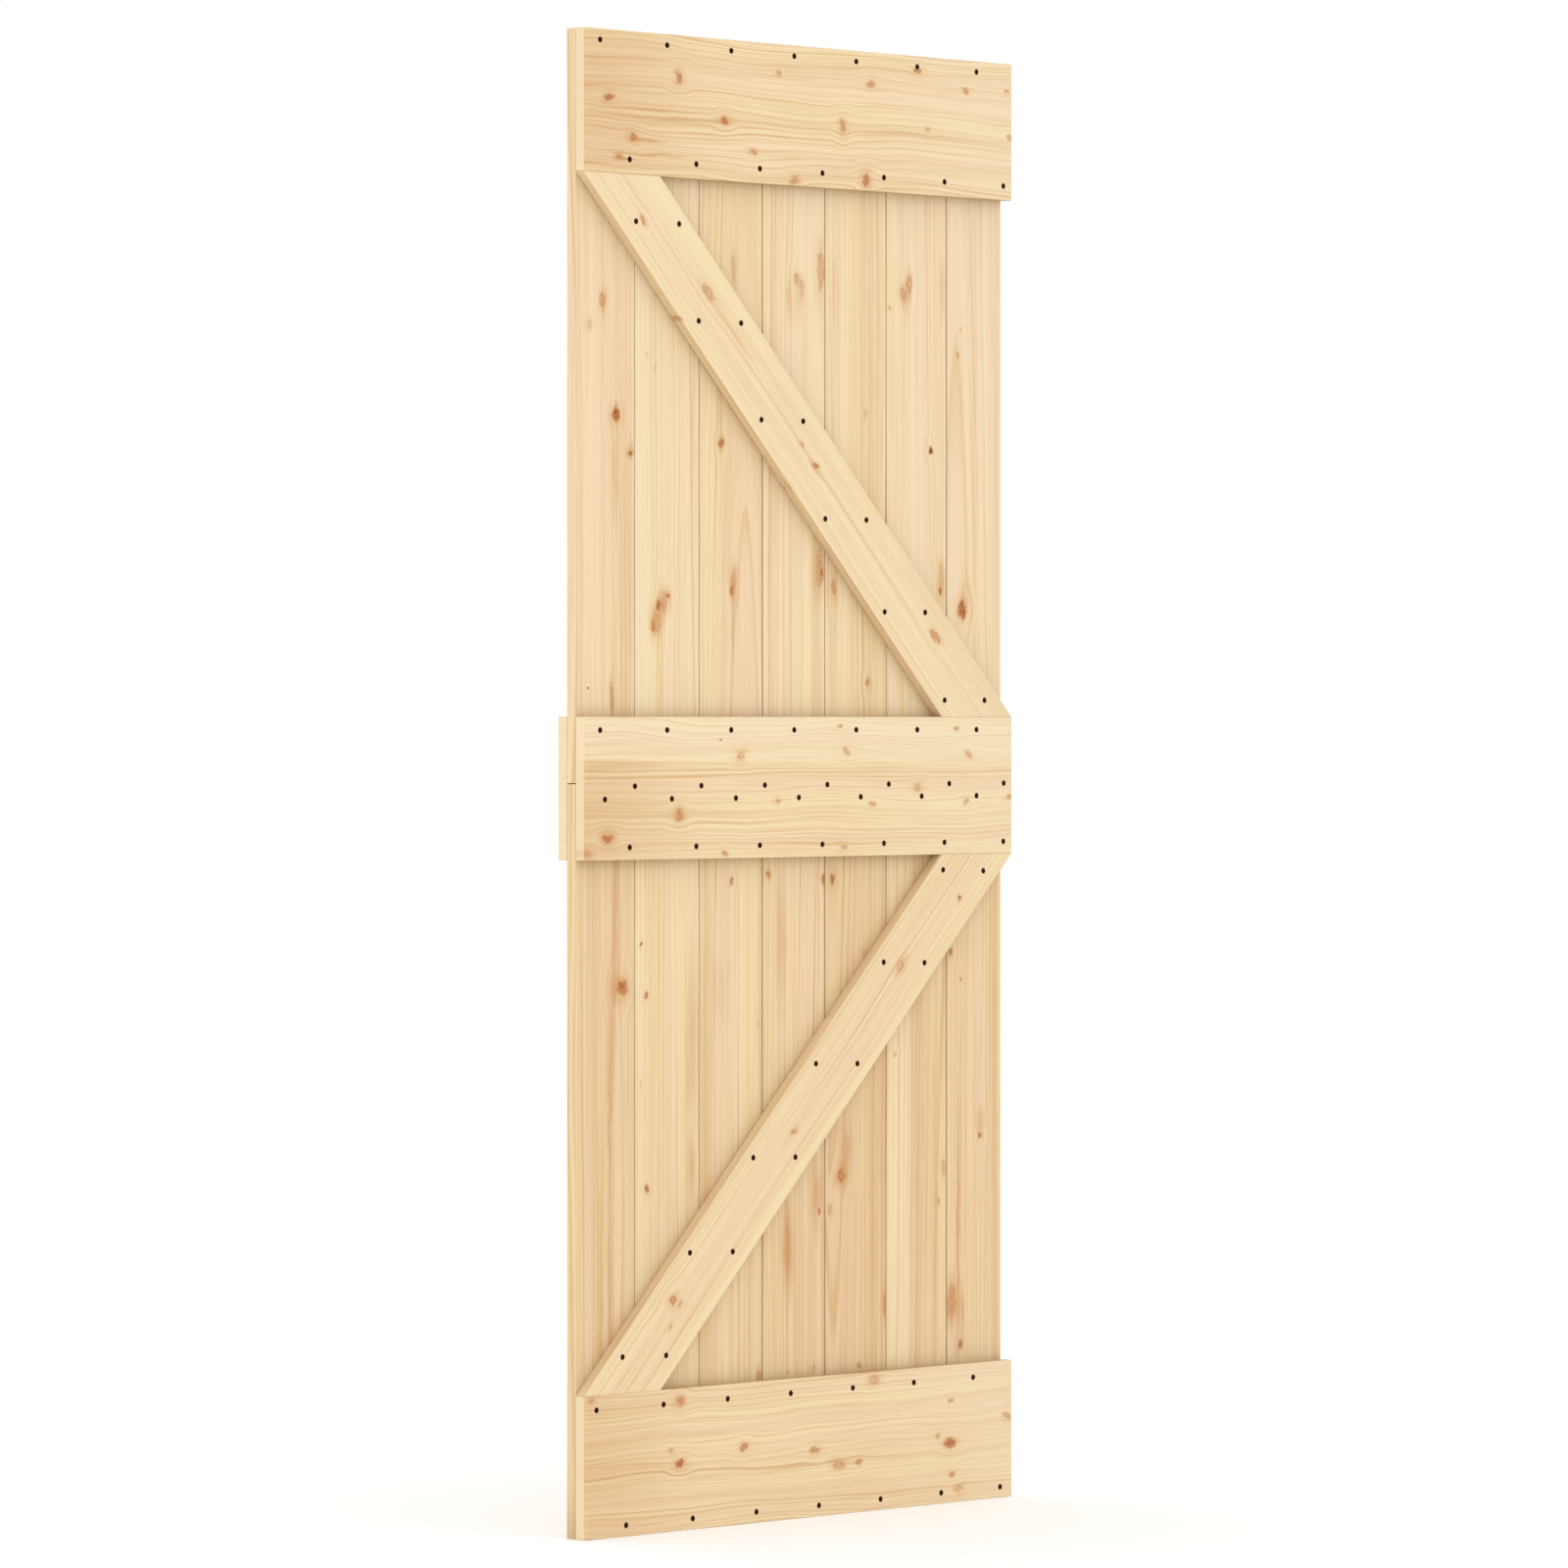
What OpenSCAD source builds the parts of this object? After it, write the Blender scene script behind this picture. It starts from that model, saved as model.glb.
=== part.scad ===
// Barn door: tongue-and-groove pine boards held by cross rails, diagonal braces and countersunk screws.
// Millimetres. X runs along the rails, the front faces -Y, Z is up, and the origin is at the bottom centre.

/* [Door] */
// Overall width, along the rails
door_w = 850; // [780:5:950]
// Overall height
door_h = 2100; // [1950:10:2300]
// How far the boards stop short of the rails' right ends
panel_short = 5; // [0:1:10]

/* [Boards] */
// Thickness of the boards
board_t = 18; // [16:1:24]
// How much narrower the two outer boards are than the inner ones, ripped off to fit the door
outer_trim = 11.5; // [0:0.5:20]
// How far a tongue stands out of its board
tongue_l = 6; // [4:0.5:8]
// Thickness of a tongue
tongue_t = 5; // [4:0.5:7]
// Clearance on each side of a tongue in its groove
tongue_clear = 0.2; // [0.1:0.05:0.4]
// Clearance between the end of a tongue and the bottom of its groove
groove_end_clear = 0.8; // [0.3:0.1:1.5]
// Chamfer along both edges of a seam
seam_chamfer = 0.8; // [0.4:0.1:1.5]
// Gap between the boards at each seam, from left to right
seam_gap = [0.8, 0.9, 1.5, 1.3, 1.1, 1.4]; // [0.2:0.1:2]
// Gap between the upper and the lower boards, behind the middle rail
butt_gap = 1.4; // [0:0.1:3]

/* [Rails] */
// Thickness of the front rails and of the braces between them
rail_t = 18; // [16:1:24]
// Height of the top, middle and bottom rails
rail_h = 200; // [170:5:220]
// How far the middle rail's centre lies below the middle of the door
middle_drop = 7; // [0:1:20]
// Thickness of the rail on the back
back_rail_t = 18; // [16:1:24]
// Height of the rail on the back
back_rail_h = 200; // [180:5:220]
// Radius of the eased edges on rails and braces
arris_r = 1.5; // [0.5:0.5:3]

/* [Braces] */
// Width of the brace stock, square to its length
brace_w = 106; // [95:1:115]

/* [Screws] */
// Diameter of a screw's shank
screw_d = 4; // [3.5:0.5:4.5]
// Diameter of a screw's head
head_d = 8.4; // [7:0.1:9.5]
// Height of the straight rim of a head
head_rim = 0.4; // [0.2:0.1:0.6]
// How far a head is driven below the surface
head_sink = 0.4; // [0:0.1:1]
// Length of the screws that hold the boards to one rail
screw_l = 30; // [28:1:32]
// Length of the screws that reach through to the back rail
long_screw_l = 50; // [46:1:52]
// Length of a screw's point
point_l = 6; // [4:1:8]
// Clearance round a screw in its hole
screw_clear = 0.05; // [0.03:0.01:0.1]
// Distance of the outer screw row from the door's top or bottom edge
outer_row = 15.6; // [14:0.2:20]
// Distance of the inner screw row from the rail's inner edge
inner_row = 20.6; // [15:0.2:25]
// Distance of the middle rail's first row from the rail's top edge
middle_row_1 = 18.6; // [15:0.2:25]
// Distance of the middle rail's second row from the rail's top edge
middle_row_2 = 97; // [96:0.5:100]
// Distance of the middle rail's third row from the rail's top edge
middle_row_3 = 115; // [110:0.5:125]
// Distance of the middle rail's last row from the rail's bottom edge
middle_row_4 = 17.7; // [15:0.1:25]
// Upper row's screws on the top and middle rails, from each board's centre, as a share of an inner board
top_left = -0.134; // [-0.2:0.002:-0.08]
// Lower row's screws on the top and middle rails, from each board's centre, as a share of an inner board
top_right = 0.3185; // [0.25:0.0005:0.34]
// Upper row's screws on the bottom rail, from each board's centre, as a share of an inner board
bottom_left = -0.1895; // [-0.25:0.0005:-0.08]
// Lower row's screws on the bottom rail, from each board's centre, as a share of an inner board
bottom_right = 0.263; // [0.2:0.001:0.34]
// Second row's screws on the middle rail, from each board's centre, as a share of an inner board
middle_right = 0.3976; // [0.32:0.0004:0.42]
// Third row's screws on the middle rail, from each board's centre, as a share of an inner board
middle_left = -0.0605; // [-0.12:0.0005:0]
// Move of the first board's screws towards the door's left edge, as a share of an inner board
first_shift = 0.0758; // [0.04:0.0002:0.1]
// Move of the last board's screws towards the door's right edge, as a share of an inner board
last_shift = 0.0323; // [0:0.0001:0.05]
// Move of the last board's screws in the two close rows away from that edge, as a share of an inner board
close_shift = 0.0403; // [0.02:0.0001:0.06]
// Distance between the two screws of a pair, as a share of the brace's level width
pair_share = 0.57; // [0.5:0.001:0.6]
// Depth of each pair below the top rail, as a share of the upper brace's rise
upper_pair = [0.086, 0.264, 0.443, 0.626, 0.8, 0.968]; // [0.05:0.001:0.98]
// Height of each pair above the bottom rail, as a share of the lower brace's rise
lower_pair = [0.068, 0.255, 0.428, 0.602, 0.793, 0.97]; // [0.05:0.001:0.98]
// Left screw of each pair from the upper brace's left edge, as a share of the brace's level width
upper_inset = [0.26, 0.224, 0.198, 0.182, 0.162, 0.191]; // [0.14:0.001:0.28]
// Left screw of each pair from the lower brace's left edge, as a share of the brace's level width
lower_inset = [0.17, 0.152, 0.162, 0.173, 0.186, 0.166]; // [0.14:0.001:0.28]
// How much lower than the left screw of a pair the right one is, on the lower brace
lower_pair_drop = 2.6; // [0:0.2:4]

/* [Hidden] */
BOARDS = 7;
PINE = "#EBCDA2";
RAIL_PINE = "#F0D3A9";
BLACK = "#241A12";
ROUND = 32;
ARRIS_STEPS = 3;
OVER = 1;

// Depths, from the front faces of the rails to the back of the back rail
depth = rail_t + board_t + back_rail_t;
front_y = -depth / 2;
board_y = front_y + rail_t;
back_y = board_y + board_t;

// Heights
seam_z = door_h / 2;
top_z = door_h - rail_h;
middle_z = seam_z - middle_drop - rail_h / 2;
middle_top_z = middle_z + rail_h;
back_z = middle_z + (rail_h - back_rail_h) / 2;

// Width that an inner board covers, from seam to seam, and what is left of the two outer boards
left_x = -door_w / 2;
right_x = door_w / 2;
panel_right_x = right_x - panel_short;
board_cover = (door_w - panel_short + 2 * outer_trim) / BOARDS;
outer_cover = board_cover - outer_trim;

function seam_x(i) =
    i == 0 ? left_x : i == BOARDS ? panel_right_x : left_x + outer_cover + (i - 1) * board_cover;
function board_mid(i) = (seam_x(i - 1) + seam_x(i)) / 2;
function half_gap(i) = i == 0 || i == BOARDS ? 0 : seam_gap[i - 1] / 2;

// Length of the level cut at a brace's end, for stock that fills the space between two rails corner to corner
function brace_cut(rise) =
    brace_w * (rise * sqrt(door_w * door_w + rise * rise - brace_w * brace_w) - brace_w * door_w)
    / (rise * rise - brace_w * brace_w);

upper_rise = top_z - middle_top_z;
lower_rise = middle_z - rail_h;
upper_cut = brace_cut(upper_rise);
lower_cut = brace_cut(lower_rise);
upper_run = door_w - upper_cut;
lower_run = door_w - lower_cut;

// Screw places as [x, z]
function row(offset, z, last) =
    [for (i = [1:BOARDS])
        [board_mid(i) + board_cover * (offset + (i == 1 ? -first_shift : i == BOARDS ? last : 0)), z]];

top_screw_places = concat(
    row(top_left, door_h - outer_row, last_shift),
    row(top_right, top_z + inner_row, last_shift));
bottom_screw_places = concat(
    row(bottom_left, rail_h - inner_row, last_shift),
    row(bottom_right, outer_row, last_shift));
middle_screw_places = concat(
    row(top_left, middle_top_z - middle_row_1, last_shift),
    row(middle_right, middle_top_z - middle_row_2, -close_shift),
    row(middle_left, middle_top_z - middle_row_3, -close_shift),
    row(top_right, middle_z + middle_row_4, last_shift));

upper_screw_places = [for (i = [0:len(upper_pair) - 1]) each let (
    x = left_x + upper_pair[i] * upper_run + upper_inset[i] * upper_cut,
    z = top_z - upper_pair[i] * upper_rise)
    [[x, z], [x + pair_share * upper_cut, z]]];
lower_screw_places = [for (i = [0:len(lower_pair) - 1]) each let (
    x = left_x + lower_pair[i] * lower_run + lower_inset[i] * lower_cut,
    z = rail_h + lower_pair[i] * lower_rise)
    [[x, z], [x + pair_share * lower_cut, z - lower_pair_drop]]];

// All places with the length of the screw there, as [x, z, length]
function with_length(places, l) = [for (p = places) [p[0], p[1], l]];
short_places = concat(top_screw_places, bottom_screw_places, upper_screw_places, lower_screw_places);
all_places = concat(with_length(short_places, screw_l), with_length(middle_screw_places, long_screw_l));

// Outline of planed stock, a by b from the origin, with eased corners
function eased(a, b) = let (r = arris_r, corners = [[a - r, b - r], [r, b - r], [r, r], [a - r, r]]) [
    for (k = [0:len(corners) - 1])
        for (step = [0:ARRIS_STEPS])
            let (t = 90 * (k + step / ARRIS_STEPS)) [corners[k][0] + r * cos(t), corners[k][1] + r * sin(t)]];

// Places its children at a point of the front, with their +Z pointing into the door
module into_door(p) {
    translate([p[0], front_y, p[1]]) rotate([-90, 0, 0]) children();
}

// One countersunk wood screw, its axis along +Z and the surface it is driven into at z = 0
module screw(l) {
    head_r = head_d / 2;
    shank_r = screw_d / 2;
    cone_h = head_r - shank_r;
    translate([0, 0, head_sink]) rotate_extrude($fn = ROUND)
        polygon([[0, 0], [head_r, 0], [head_r, head_rim], [shank_r, head_rim + cone_h],
            [shank_r, l - point_l], [screw_clear, l], [0, l]]);
}

// The countersunk hole that a screw sits in, open at the surface
module screw_seat(l) {
    head_r = head_d / 2 + screw_clear;
    shank_r = screw_d / 2 + screw_clear;
    rim = head_sink + head_rim;
    translate([0, 0, -OVER]) cylinder(h = OVER + rim, r = head_r, $fn = ROUND);
    translate([0, 0, rim]) cylinder(h = head_r - shank_r, r1 = head_r, r2 = shank_r, $fn = ROUND);
    cylinder(h = head_sink + l + screw_clear, r = shank_r, $fn = ROUND);
}

// The hole that a screw's shank makes in the wood behind the rails
module screw_hole(l) {
    cylinder(h = head_sink + l + screw_clear, r = screw_d / 2 + screw_clear, $fn = ROUND);
}

module screws(places, l) {
    color(BLACK) for (p = places) into_door(p) screw(l);
}

// Section of board i: groove on its left edge, tongue on its right edge, plain at the panel's own edges
module board_section(i) {
    a = seam_x(i - 1) + half_gap(i - 1);
    b = seam_x(i) - half_gap(i);
    y1 = board_y;
    y2 = board_y + board_t;
    mid = (y1 + y2) / 2;
    tongue = tongue_t / 2;
    groove = tongue + tongue_clear;
    deep = tongue_l + groove_end_clear;
    c = seam_chamfer;
    polygon(concat(
        [[a + c, y1], [b - c, y1], [b, y1 + c]],
        i == BOARDS ? [] : [[b, mid - tongue], [b + tongue_l, mid - tongue],
            [b + tongue_l, mid + tongue], [b, mid + tongue]],
        [[b, y2 - c], [b - c, y2], [a + c, y2], [a, y2 - c]],
        i == 1 ? [] : [[a, mid + groove], [a + deep, mid + groove],
            [a + deep, mid - groove], [a, mid - groove]],
        [[a, y1 + c]]));
}

// Board i from height z1 to z2, with the holes of the screws that enter it
module board(i, z1, z2) {
    hole_r = screw_d / 2 + screw_clear;
    x1 = seam_x(i - 1) - hole_r;
    x2 = seam_x(i) + tongue_l + hole_r;
    color(PINE) difference() {
        translate([0, 0, z1]) linear_extrude(z2 - z1) board_section(i);
        for (p = all_places)
            if (p[0] > x1 && p[0] < x2 && p[1] > z1 - hole_r && p[1] < z2 + hole_r)
                into_door(p) screw_hole(p[2]);
    }
}

// A length of planed stock along +X, t deep in Y and h high in Z, eased along all its edges
module planed(l, t, h) {
    intersection() {
        rotate([90, 0, 90]) linear_extrude(l) polygon(eased(t, h));
        translate([0, t, 0]) rotate([90, 0, 0]) linear_extrude(t) polygon(eased(l, h));
        linear_extrude(h) polygon(eased(l, t));
    }
}

// A front rail with its lower edge at z and the seats of its screws
module front_rail(z, places, l) {
    color(RAIL_PINE) difference() {
        translate([left_x, front_y, z]) planed(door_w, rail_t, rail_h);
        for (p = places) into_door(p) screw_seat(l);
    }
}

module back_rail() {
    color(RAIL_PINE) difference() {
        translate([left_x, back_y, back_z]) planed(door_w, back_rail_t, back_rail_h);
        for (p = middle_screw_places) into_door(p) screw_hole(long_screw_l);
    }
}

// A brace that rises from its left foot by rise over run, cut level at z1 and z1 + rise
module rising_brace(z1, rise, run) {
    slope = atan2(rise, run);
    tail = brace_w / tan(slope);
    stock_l = norm([run, rise]) + tail + 2 * OVER;
    intersection() {
        translate([left_x, front_y, z1]) rotate([0, -slope, 0]) translate([-OVER, 0, -brace_w])
            rotate([90, 0, 90]) linear_extrude(stock_l) polygon(eased(rail_t, brace_w));
        translate([left_x - OVER, front_y - OVER, z1]) cube([door_w + 2 * OVER, rail_t + 2 * OVER, rise]);
    }
}

module upper_brace() {
    color(RAIL_PINE) difference() {
        translate([0, 0, middle_top_z + top_z]) mirror([0, 0, 1])
            rising_brace(middle_top_z, upper_rise, upper_run);
        for (p = upper_screw_places) into_door(p) screw_seat(screw_l);
    }
}

module lower_brace() {
    color(RAIL_PINE) difference() {
        rising_brace(rail_h, lower_rise, lower_run);
        for (p = lower_screw_places) into_door(p) screw_seat(screw_l);
    }
}

for (i = [1:BOARDS]) {
    board(i, seam_z + butt_gap / 2, door_h);
    board(i, 0, seam_z - butt_gap / 2);
}
front_rail(top_z, top_screw_places, screw_l);  // top_rail
front_rail(middle_z, middle_screw_places, long_screw_l);  // middle_rail
front_rail(0, bottom_screw_places, screw_l);  // bottom_rail
back_rail();
upper_brace();
lower_brace();
screws(top_screw_places, screw_l);  // top_rail_screws
screws(middle_screw_places, long_screw_l);  // middle_rail_screws
screws(bottom_screw_places, screw_l);  // bottom_rail_screws
screws(upper_screw_places, screw_l);  // upper_brace_screws
screws(lower_screw_places, screw_l);  // lower_brace_screws
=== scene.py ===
"""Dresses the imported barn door.

Planed pine for its boards, rails and braces, black cross-head screws, and a white studio.
"""

import math
import random

import bmesh
import bpy
from bpy.props import FloatProperty, FloatVectorProperty, IntProperty, PointerProperty
from mathutils import Matrix, Vector


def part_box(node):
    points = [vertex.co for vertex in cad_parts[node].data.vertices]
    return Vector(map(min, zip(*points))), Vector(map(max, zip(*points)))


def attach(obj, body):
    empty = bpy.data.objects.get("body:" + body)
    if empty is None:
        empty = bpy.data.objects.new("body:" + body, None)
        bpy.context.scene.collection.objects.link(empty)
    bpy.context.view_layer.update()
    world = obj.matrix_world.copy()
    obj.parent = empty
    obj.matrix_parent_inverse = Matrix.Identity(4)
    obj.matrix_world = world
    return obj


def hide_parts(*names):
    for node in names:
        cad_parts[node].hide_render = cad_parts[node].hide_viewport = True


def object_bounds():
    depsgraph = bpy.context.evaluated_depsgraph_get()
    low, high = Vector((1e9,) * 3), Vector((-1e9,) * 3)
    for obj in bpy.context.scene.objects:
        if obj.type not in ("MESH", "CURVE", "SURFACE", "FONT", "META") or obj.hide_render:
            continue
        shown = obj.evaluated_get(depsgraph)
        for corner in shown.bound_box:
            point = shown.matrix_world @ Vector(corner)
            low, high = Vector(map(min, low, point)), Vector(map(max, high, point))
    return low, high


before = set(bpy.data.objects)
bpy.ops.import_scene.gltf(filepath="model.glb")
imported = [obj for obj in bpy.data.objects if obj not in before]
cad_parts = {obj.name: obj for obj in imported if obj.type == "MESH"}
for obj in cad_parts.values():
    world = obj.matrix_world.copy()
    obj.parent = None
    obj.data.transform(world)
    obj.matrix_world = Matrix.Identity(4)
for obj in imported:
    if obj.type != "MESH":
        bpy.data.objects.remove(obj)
CAD_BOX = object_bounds()

bl_info = {
    "name": "Barn door finish",
    "version": (1, 0, 0),
    "blender": (4, 5, 0),
    "location": "View3D > Sidebar > Barn door",
    "description": "Pine, screws and studio for a ledged and braced barn door",
    "category": "Object",
}

MM = 0.001

BOARDS = sorted(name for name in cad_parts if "_board_" in name)
RAILS = ("top_rail", "middle_rail", "bottom_rail", "back_rail")
BRACES = ("upper_brace", "lower_brace")
SCREWS = sorted(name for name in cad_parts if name.endswith("_screws"))

UP = Vector((0, 0, 1))
RIGHT = Vector((1, 0, 0))
INWARD = Vector((0, 1, 0))

# Knots and streaks of each piece, seen from the front, in millimetres of the door's frame:
# x, z, half the width across the grain, half the length along it, darkness of the core, tint around it.
# A core of 0 is a streak in the grain, and a tint below 0 is a paler one.
KNOTS = {
    "upper_board_1": [
        (-374, 1723, 7, 13, 0.55, 0.5), (-398, 1689, 5, 9, 0.25, 0.45), (-349, 1565, 8, 10, 0.95, 0.6),
        (-321, 1514, 5.5, 6.5, 0.95, 0.5), (-356, 1168, 3, 24, 0.5, 0.6), (-403, 1184, 2.5, 3, 0.8, 0.2),
        (-351, 1487, 5, 50, 0, 0.5), (-330, 1330, 6, 260, 0, 0.25), (-392, 1500, 9, 300, 0, -0.3),
    ],
    "upper_board_2": [
        (-275, 1633, 3, 5, 0.3, 0.2), (-288, 1650, 3, 5, 0.3, 0.2), (-200, 1562, 3, 70, 0, 0.35),
        (-256, 1306, 9, 16, 0.4, 0.9), (-272, 1276, 9, 18, 0.4, 0.9), (-267, 1300, 5, 7, 0.8, 0.4),
        (-248, 1312, 4, 5, 0.8, 0.3), (-278, 1270, 4, 7, 0.75, 0.4), (-263, 1186, 4, 60, 0, 0.45),
        (-300, 1400, 8, 300, 0, -0.3),
    ],
    "upper_board_3": [
        (-121, 1778, 4, 18, 0.2, 0.5), (-146, 1530, 5, 7, 0.85, 0.5), (-146, 1570, 2, 40, 0, 0.4),
        (-122, 1335, 6, 20, 0.35, 0.7), (-126, 1325, 4, 8, 0.9, 0.3), (-123, 1270, 2.5, 35, 0.15, 0.5),
        (-170, 1300, 8, 250, 0, -0.3),
    ],
    "upper_board_4": [
        (2, 1770, 6, 10, 0.45, 0.5), (13, 1757, 4, 12, 0.3, 0.5), (-13, 1737, 3, 25, 0.1, 0.5),
        (5, 1742, 9, 22, 0, 0.4), (51, 1784, 8, 36, 0.5, 0.6),
        (48, 1354, 9, 30, 0.45, 0.8), (52, 1349, 4, 10, 0.85, 0.3), (-40, 1500, 7, 350, 0, 0.25),
    ],
    "upper_board_5": [
        (78, 1757, 6, 34, 0, 0.35), (141, 1580, 4, 6, 0.35, 0.2), (76, 1328, 6, 16, 0.6, 0.6),
        (145, 1192, 5, 8, 0.7, 0.5), (150, 1500, 18, 420, 0, 0.3), (100, 1560, 9, 300, 0, -0.25),
    ],
    "upper_board_6": [
        (230, 1771, 7, 13, 0.5, 0.5), (217, 1756, 7, 10, 0.4, 0.6), (225, 1742, 6, 16, 0, 0.5),
        (191, 1731, 2.5, 4, 0.5, 0.2), (274, 1530, 5.5, 8, 1.0, 0.5), (299, 1766, 4, 30, 0.1, 0.45),
        (296, 1341, 6, 20, 0.3, 0.6),
        (294, 1326, 4, 7, 0.9, 0.3), (240, 1500, 10, 300, 0, -0.3),
    ],
    "upper_board_7": [
        (330, 1671, 3, 5, 0.5, 0.2), (340, 1300, 10, 13, 0.95, 0.6), (344, 1327, 7, 20, 0, 0.5),
        (336, 1707, 3, 5, 0.35, 0.2), (385, 1600, 8, 300, 0, -0.3), (365, 1400, 5, 250, 0, 0.3),
    ],
    "lower_board_1": [
        (-338, 765, 13, 14, 0.85, 0.5), (-351, 858, 4, 80, 0, 0.5), (-357, 694, 5, 60, 0, 0.45),
        (-361, 338, 2.5, 90, 0.1, 0.55), (-361, 560, 2.5, 70, 0.1, 0.5), (-378, 330, 4, 120, 0, 0.4),
        (-395, 650, 8, 250, 0, 0.2),
    ],
    "lower_board_2": [
        (-300, 825, 3, 3.5, 0.95, 0.15), (-291, 754, 5, 6, 0.75, 0.5), (-204, 690, 8, 75, 0, 0.5),
        (-290, 481, 5, 7, 0.8, 0.5), (-204, 508, 5, 28, 0, 0.6), (-301, 629, 2, 5, 0.4, 0.1),
        (-300, 640, 5, 260, 0, -0.45), (-230, 850, 12, 200, 0, -0.3),
    ],
    "lower_board_3": [
        (-126, 909, 4, 8, 0.75, 0.4), (-73, 708, 2.5, 5, 0.4, 0.1), (-72, 206, 5, 8, 0.5, 0.5),
        (-148, 757, 12, 30, 0, 0.2), (-178, 560, 7, 240, 0, 0.3), (-105, 700, 12, 260, 0, -0.2),
    ],
    "lower_board_4": [
        (-53, 917, 6, 6, 0.7, 0.5), (-28, 824, 6, 60, 0, 0.5), (56, 911, 5, 10, 0.8, 0.4),
        (-56, 580, 3, 4, 0.5, 0.1), (-14, 386, 8, 40, 0.15, 0.8), (48, 435, 3.5, 5, 0.9, 0.2),
        (43, 455, 8, 32, 0.1, 0.6), (-15, 207, 3, 3, 0.5, 0.1), (36, 209, 4, 5, 0.4, 0.3),
        # The last one is a wide amber tint that darkens the foot of the board, partly painted shade above
        # the bottom rail
        (0, 300, 70, 130, 0, 0.2),
    ],
    "lower_board_5": [
        (75, 908, 5, 8, 0.8, 0.4), (141, 802, 5, 8, 0.15, 0.3), (91, 483, 9, 13, 0.75, 0.75),
        (101, 521, 9, 24, 0.05, 0.5), (69, 436, 4, 7, 0.4, 0.4), (180, 295, 4, 20, 0.5, 0.5),
        (128, 206, 5, 4, 0.6, 0.4), (155, 420, 5, 200, 0, 0.35), (176, 560, 6, 200, 0, 0.3),
    ],
    "lower_board_6": [
        (202, 656, 3.5, 4, 0.5, 0.1), (301, 486, 4, 12, 0.4, 0.3), (290, 436, 3, 6, 0.55, 0.3),
        (206, 450, 18, 320, 0, -0.45), (250, 520, 12, 260, 0, 0.25), (285, 420, 4, 200, 0, 0.3),
    ],
    "lower_board_7": [
        (315, 800, 5, 6, 0.8, 0.5), (336, 764, 3, 4, 0.6, 0.2), (377, 531, 4, 5, 0.85, 0.4),
        (377, 552, 5, 14, 0, 0.5), (331, 400, 2.5, 110, 0.15, 0.55), (317, 289, 10, 24, 0.4, 0.8),
        (335, 228, 5, 8, 0.85, 0.5), (340, 272, 3, 24, 0.2, 0.5), (408, 500, 5, 300, 0, 0.4),
    ],
    "top_rail": [
        (-379, 2005, 5.5, 9, 0.8, 0.5), (-244, 2042, 9, 8, 0.75, 0.5), (-155, 1985, 6, 8, 0.9, 0.5),
        (-333, 1952, 6, 8, 0.75, 0.5), (-308, 1949, 2, 24, 0.2, 0.5), (-360, 1924, 5, 8, 0.65, 0.4),
        (-101, 1944, 5, 7, 0.65, 0.4), (-51, 2058, 4, 6, 0.55, 0.3), (-18, 1908, 6, 8, 0.5, 0.6),
        (125, 1916, 11, 9, 0.75, 0.6), (135, 2054, 6, 9, 0.65, 0.5), (78, 1990, 10, 7, 0.6, 0.5),
        (229, 2078, 4, 8, 0.75, 0.4), (330, 2055, 5, 8, 0.65, 0.4), (416, 2060, 4, 7, 0.65, 0.3),
        (420, 1991, 5, 6, 0.65, 0.3), (251, 1995, 4, 6, 0.45, 0.3), (-293, 1992, 1.3, 62, 0, 0.45),
        (-254, 1982, 1.3, 88, 0, 0.5), (-287, 1930, 1.5, 45, 0, 0.7), (-352, 1921, 1.5, 14, 0, 0.7),
        (-425, 2000, 130, 110, 0, 0.42), (400, 2000, 130, 150, 0, -0.25),
    ],
    "middle_rail": [
        (-124, 1088, 7, 10, 0.4, 0.8), (-168, 1110, 2.5, 3.5, 0.75, 0.1), (-244, 1005, 9, 9, 0.65, 0.6),
        (-381, 972, 8, 11, 0.85, 0.6), (-155, 951, 4, 6, 0.65, 0.4), (-51, 1024, 4, 6, 0.55, 0.3),
        (86, 1093, 6, 8, 0.55, 0.4), (334, 1089, 6, 9, 0.55, 0.4), (70, 1130, 4, 7, 0.65, 0.4),
        (312, 1127, 4, 7, 0.65, 0.4), (137, 1018, 5, 7, 0.55, 0.4), (330, 1019, 5, 7, 0.55, 0.4),
        (78, 957, 4, 7, 0.55, 0.4), (229, 1041, 6, 9, 0.4, 0.6), (416, 1026, 5, 6, 0.65, 0.4),
        (-422, 952, 6, 10, 0.2, 0.7), (-370, 1076, 4, 60, 0, 0.3), (-425, 1010, 60, 110, 0, 0.45),
        (400, 1000, 80, 150, 0, -0.25),
    ],
    "bottom_rail": [
        (-242, 182, 8, 8, 0.65, 0.6), (-242, 95, 7, 9, 0.85, 0.5), (-119, 109, 6, 8, 0.75, 0.4),
        (-261, 114, 4, 6, 0.5, 0.3), (-412, 193, 4, 7, 0.45, 0.4), (141, 190, 7, 12, 0.4, 0.6),
        (23, 96, 6, 8, 0.65, 0.5), (70, 72, 7, 14, 0.45, 0.6), (109, 72, 5, 7, 0.65, 0.4),
        (297, 86, 9, 11, 0.85, 0.6), (299, 148, 4, 6, 0.65, 0.3), (271, 99, 4, 6, 0.55, 0.3),
        (301, 40, 5, 7, 0.65, 0.4), (316, 19, 5, 9, 0.3, 0.6), (414, 120, 6, 8, 0.45, 0.6),
        (-425, 100, 130, 110, 0, 0.45), (400, 110, 130, 120, 0, -0.2),
    ],
    "back_rail": [
        (-318, 1092, 6, 9, 0.8, 0.5), (-142, 998, 8, 10, 0.75, 0.6), (-20, 1104, 4, 7, 0.6, 0.4),
        (96, 1036, 7, 9, 0.8, 0.5), (238, 976, 5, 8, 0.7, 0.5), (352, 1078, 6, 10, 0.65, 0.5),
    ],
    "upper_brace": [
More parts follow.
